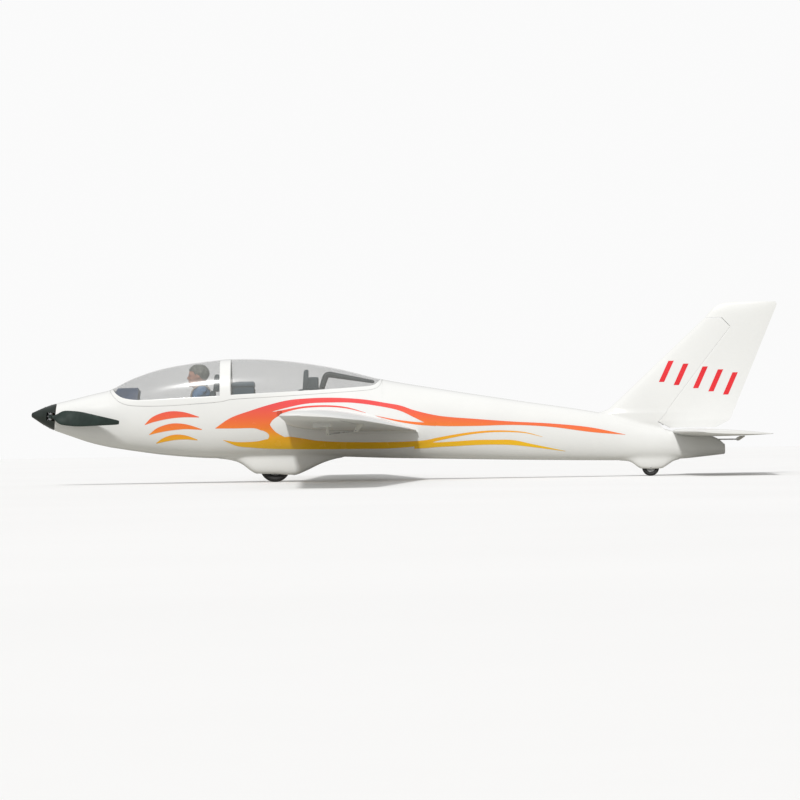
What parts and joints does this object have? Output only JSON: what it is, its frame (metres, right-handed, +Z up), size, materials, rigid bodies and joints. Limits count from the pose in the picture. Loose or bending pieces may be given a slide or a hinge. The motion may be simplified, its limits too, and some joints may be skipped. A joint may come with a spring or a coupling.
{
  "type": "rc sailplane",
  "caption": "White electric aerobatic model sailplane with folding propeller, tinted two-seat canopy, flame stripes, swept fin and fixed wheels.",
  "frame": {"origin": "on the ground, midway between nose and tail and between the wing tips", "axes": "+X aft, +Y to starboard, +Z up"},
  "size_m": [1.1204, 2.1, 0.2586],
  "materials": {
    "gelcoat": "gloss",
    "film": "gloss",
    "clear": "gloss",
    "black_plastic": "satin",
    "blade_carbon": "satin",
    "plywood": "satin",
    "motor_metal": "satin",
    "motor_dark": "satin",
    "steel": "satin",
    "cockpit_beige": "matte",
    "panel_dark": "matte",
    "seat_dark": "satin",
    "frame_dark": "satin",
    "shirt": "matte",
    "skin_paint": "satin",
    "battery_wrap": "satin",
    "circuit_wrap": "satin",
    "receiver_case": "satin",
    "servo_case": "satin",
    "nylon": "satin",
    "tyre_rubber": "matte",
    "wheel_plastic": "satin",
    "carbon_tube": "satin"
  },
  "bodies": {
    "airframe": {"fuselage_shell": "gelcoat", "firewall": "plywood", "motor_stator": "motor_dark", "speed_controller": "circuit_wrap", "battery": "battery_wrap", "receiver": "receiver_case", "cockpit_tray": "cockpit_beige", "panel_front": "panel_dark", "panel_rear": "panel_dark", "seat_front": "seat_dark", "seat_rear": "seat_dark", "pilot_body": "shirt", "pilot_head": "skin_paint", "roll_frame": "frame_dark", "fuselage_magnets": "steel", "wing_left": "film", "wing_right": "film", "wing_joiner": "carbon_tube", "aileron_hinge_wires": "steel", "aileron_servos": "servo_case", "stabilizer": "film", "stab_bolts": "steel", "tail_hinge_wires": "steel", "elevator_servo": "servo_case", "rudder_servo": "servo_case", "wheel_mount": "plywood", "axles": "steel"},
    "canopy": {"canopy_frame": "gelcoat", "canopy_glass_front": "clear", "canopy_glass_rear": "clear", "canopy_magnets": "steel"},
    "propeller": {"motor_bell": "motor_metal", "motor_shaft": "steel", "spinner_cone": "black_plastic", "spinner_backplate": "black_plastic", "prop_yoke": "motor_metal", "blade_pins": "steel"},
    "blade_port": {"blade_left": "blade_carbon"},
    "blade_starboard": {"blade_right": "blade_carbon"},
    "main_wheel": {"main_hub": "wheel_plastic", "main_tyre": "tyre_rubber"},
    "tail_wheel": {"tail_hub": "wheel_plastic", "tail_tyre": "tyre_rubber"},
    "aileron_port": {"aileron_left": "film", "aileron_horn_left": "nylon"},
    "aileron_starboard": {"aileron_right": "film", "aileron_horn_right": "nylon"},
    "elevator_body": {"elevator": "film", "elevator_horn": "nylon"},
    "rudder_body": {"rudder": "film", "rudder_horn": "nylon"},
    "arm_port": {"aileron_arm_left": "nylon"},
    "arm_starboard": {"aileron_arm_right": "nylon"},
    "rod_port": {"aileron_pushrod_left": "steel"},
    "rod_starboard": {"aileron_pushrod_right": "steel"},
    "arm_elevator": {"elevator_arm": "nylon"},
    "rod_elevator": {"elevator_pushrod": "steel"},
    "arm_rudder": {"rudder_arm": "nylon"},
    "rod_rudder": {"rudder_pushrod": "steel"}
  },
  "joints": [
    {"name": "propeller_spin", "type": "hinge", "parent": "airframe", "child": "propeller", "pos_m": [-0.5234, 0, 0.1029], "axis": [-0.9948, 0, 0.1019], "continuous": true},
    {"name": "blade_left_fold", "type": "hinge", "parent": "propeller", "child": "blade_port", "pos_m": [-0.52937, -0.015, 0.10351], "axis": [-0.1019, 0, -0.9948], "range_deg": [0, 64]},
    {"name": "blade_right_fold", "type": "hinge", "parent": "propeller", "child": "blade_starboard", "pos_m": [-0.52937, 0.015, 0.10351], "axis": [0.1019, 0, 0.9948], "range_deg": [0, 64]},
    {"name": "canopy_lift", "type": "slide", "parent": "airframe", "child": "canopy", "axis": [0, 0, 1], "range_m": [0, 0.08]},
    {"name": "main_wheel_spin", "type": "hinge", "parent": "airframe", "child": "main_wheel", "pos_m": [-0.195, 0, 0.023], "axis": [0, 1, 0], "continuous": true},
    {"name": "tail_wheel_spin", "type": "hinge", "parent": "airframe", "child": "tail_wheel", "pos_m": [0.368, 0, 0.0128], "axis": [0, 1, 0], "continuous": true},
    {"name": "aileron_left_turn", "type": "hinge", "parent": "airframe", "child": "aileron_port", "pos_m": [-0.06707, -0.7, 0.08782], "axis": [0.0509, 0.9987, -0.0071], "range_deg": [-22, 22]},
    {"name": "aileron_right_turn", "type": "hinge", "parent": "airframe", "child": "aileron_starboard", "pos_m": [-0.06707, 0.7, 0.08782], "axis": [-0.0509, 0.9987, 0.0071], "range_deg": [-22, 22]},
    {"name": "elevator_turn", "type": "hinge", "parent": "airframe", "child": "elevator_body", "pos_m": [0.5, 0.009, 0.06185], "axis": [0, 1, 0], "range_deg": [-20, 20]},
    {"name": "rudder_turn", "type": "hinge", "parent": "airframe", "child": "rudder_body", "pos_m": [0.41509, 0, 0.12292], "axis": [0.6171, 0, 0.7869], "range_deg": [-25, 25]},
    {"name": "aileron_left_arm_turn", "type": "hinge", "parent": "airframe", "child": "arm_port", "pos_m": [-0.10483, -0.69811, 0.08353], "axis": [0.0509, 0.9987, -0.0071], "range_deg": [-22, 22]},
    {"name": "aileron_left_rod_turn", "type": "hinge", "parent": "arm_port", "child": "rod_port", "pos_m": [-0.104, -0.69825, 0.06956], "axis": [0.0509, 0.9987, -0.0071], "range_deg": [-22, 22]},
    {"name": "aileron_right_arm_turn", "type": "hinge", "parent": "airframe", "child": "arm_starboard", "pos_m": [-0.10483, 0.69811, 0.08353], "axis": [-0.0509, 0.9987, 0.0071], "range_deg": [-22, 22]},
    {"name": "aileron_right_rod_turn", "type": "hinge", "parent": "arm_starboard", "child": "rod_starboard", "pos_m": [-0.104, 0.69825, 0.06956], "axis": [-0.0509, 0.9987, 0.0071], "range_deg": [-22, 22]},
    {"name": "elevator_arm_turn", "type": "hinge", "parent": "airframe", "child": "arm_elevator", "pos_m": [0.24, 0.009, 0.064], "axis": [0, 1, 0], "range_deg": [-20, 20]},
    {"name": "elevator_rod_turn", "type": "hinge", "parent": "arm_elevator", "child": "rod_elevator", "pos_m": [0.24, 0.009, 0.055], "axis": [0, 1, 0], "range_deg": [-20, 20]},
    {"name": "rudder_arm_turn", "type": "hinge", "parent": "airframe", "child": "arm_rudder", "pos_m": [0.39148, 0, 0.14143], "axis": [0.6171, 0, 0.7869], "range_deg": [-25, 25]},
    {"name": "rudder_rod_turn", "type": "hinge", "parent": "arm_rudder", "child": "rod_rudder", "pos_m": [0.39148, 0.013, 0.14143], "axis": [0.6171, 0, 0.7869], "range_deg": [-25, 25]}
  ],
  "couplings": [
    {"joint": "aileron_left_arm_turn", "follows": "aileron_left_turn", "ratio": 1},
    {"joint": "aileron_left_rod_turn", "follows": "aileron_left_turn", "ratio": -1},
    {"joint": "aileron_right_arm_turn", "follows": "aileron_right_turn", "ratio": 1},
    {"joint": "aileron_right_rod_turn", "follows": "aileron_right_turn", "ratio": -1},
    {"joint": "elevator_arm_turn", "follows": "elevator_turn", "ratio": 1},
    {"joint": "elevator_rod_turn", "follows": "elevator_turn", "ratio": -1},
    {"joint": "rudder_arm_turn", "follows": "rudder_turn", "ratio": 1},
    {"joint": "rudder_rod_turn", "follows": "rudder_turn", "ratio": -1}
  ]
}
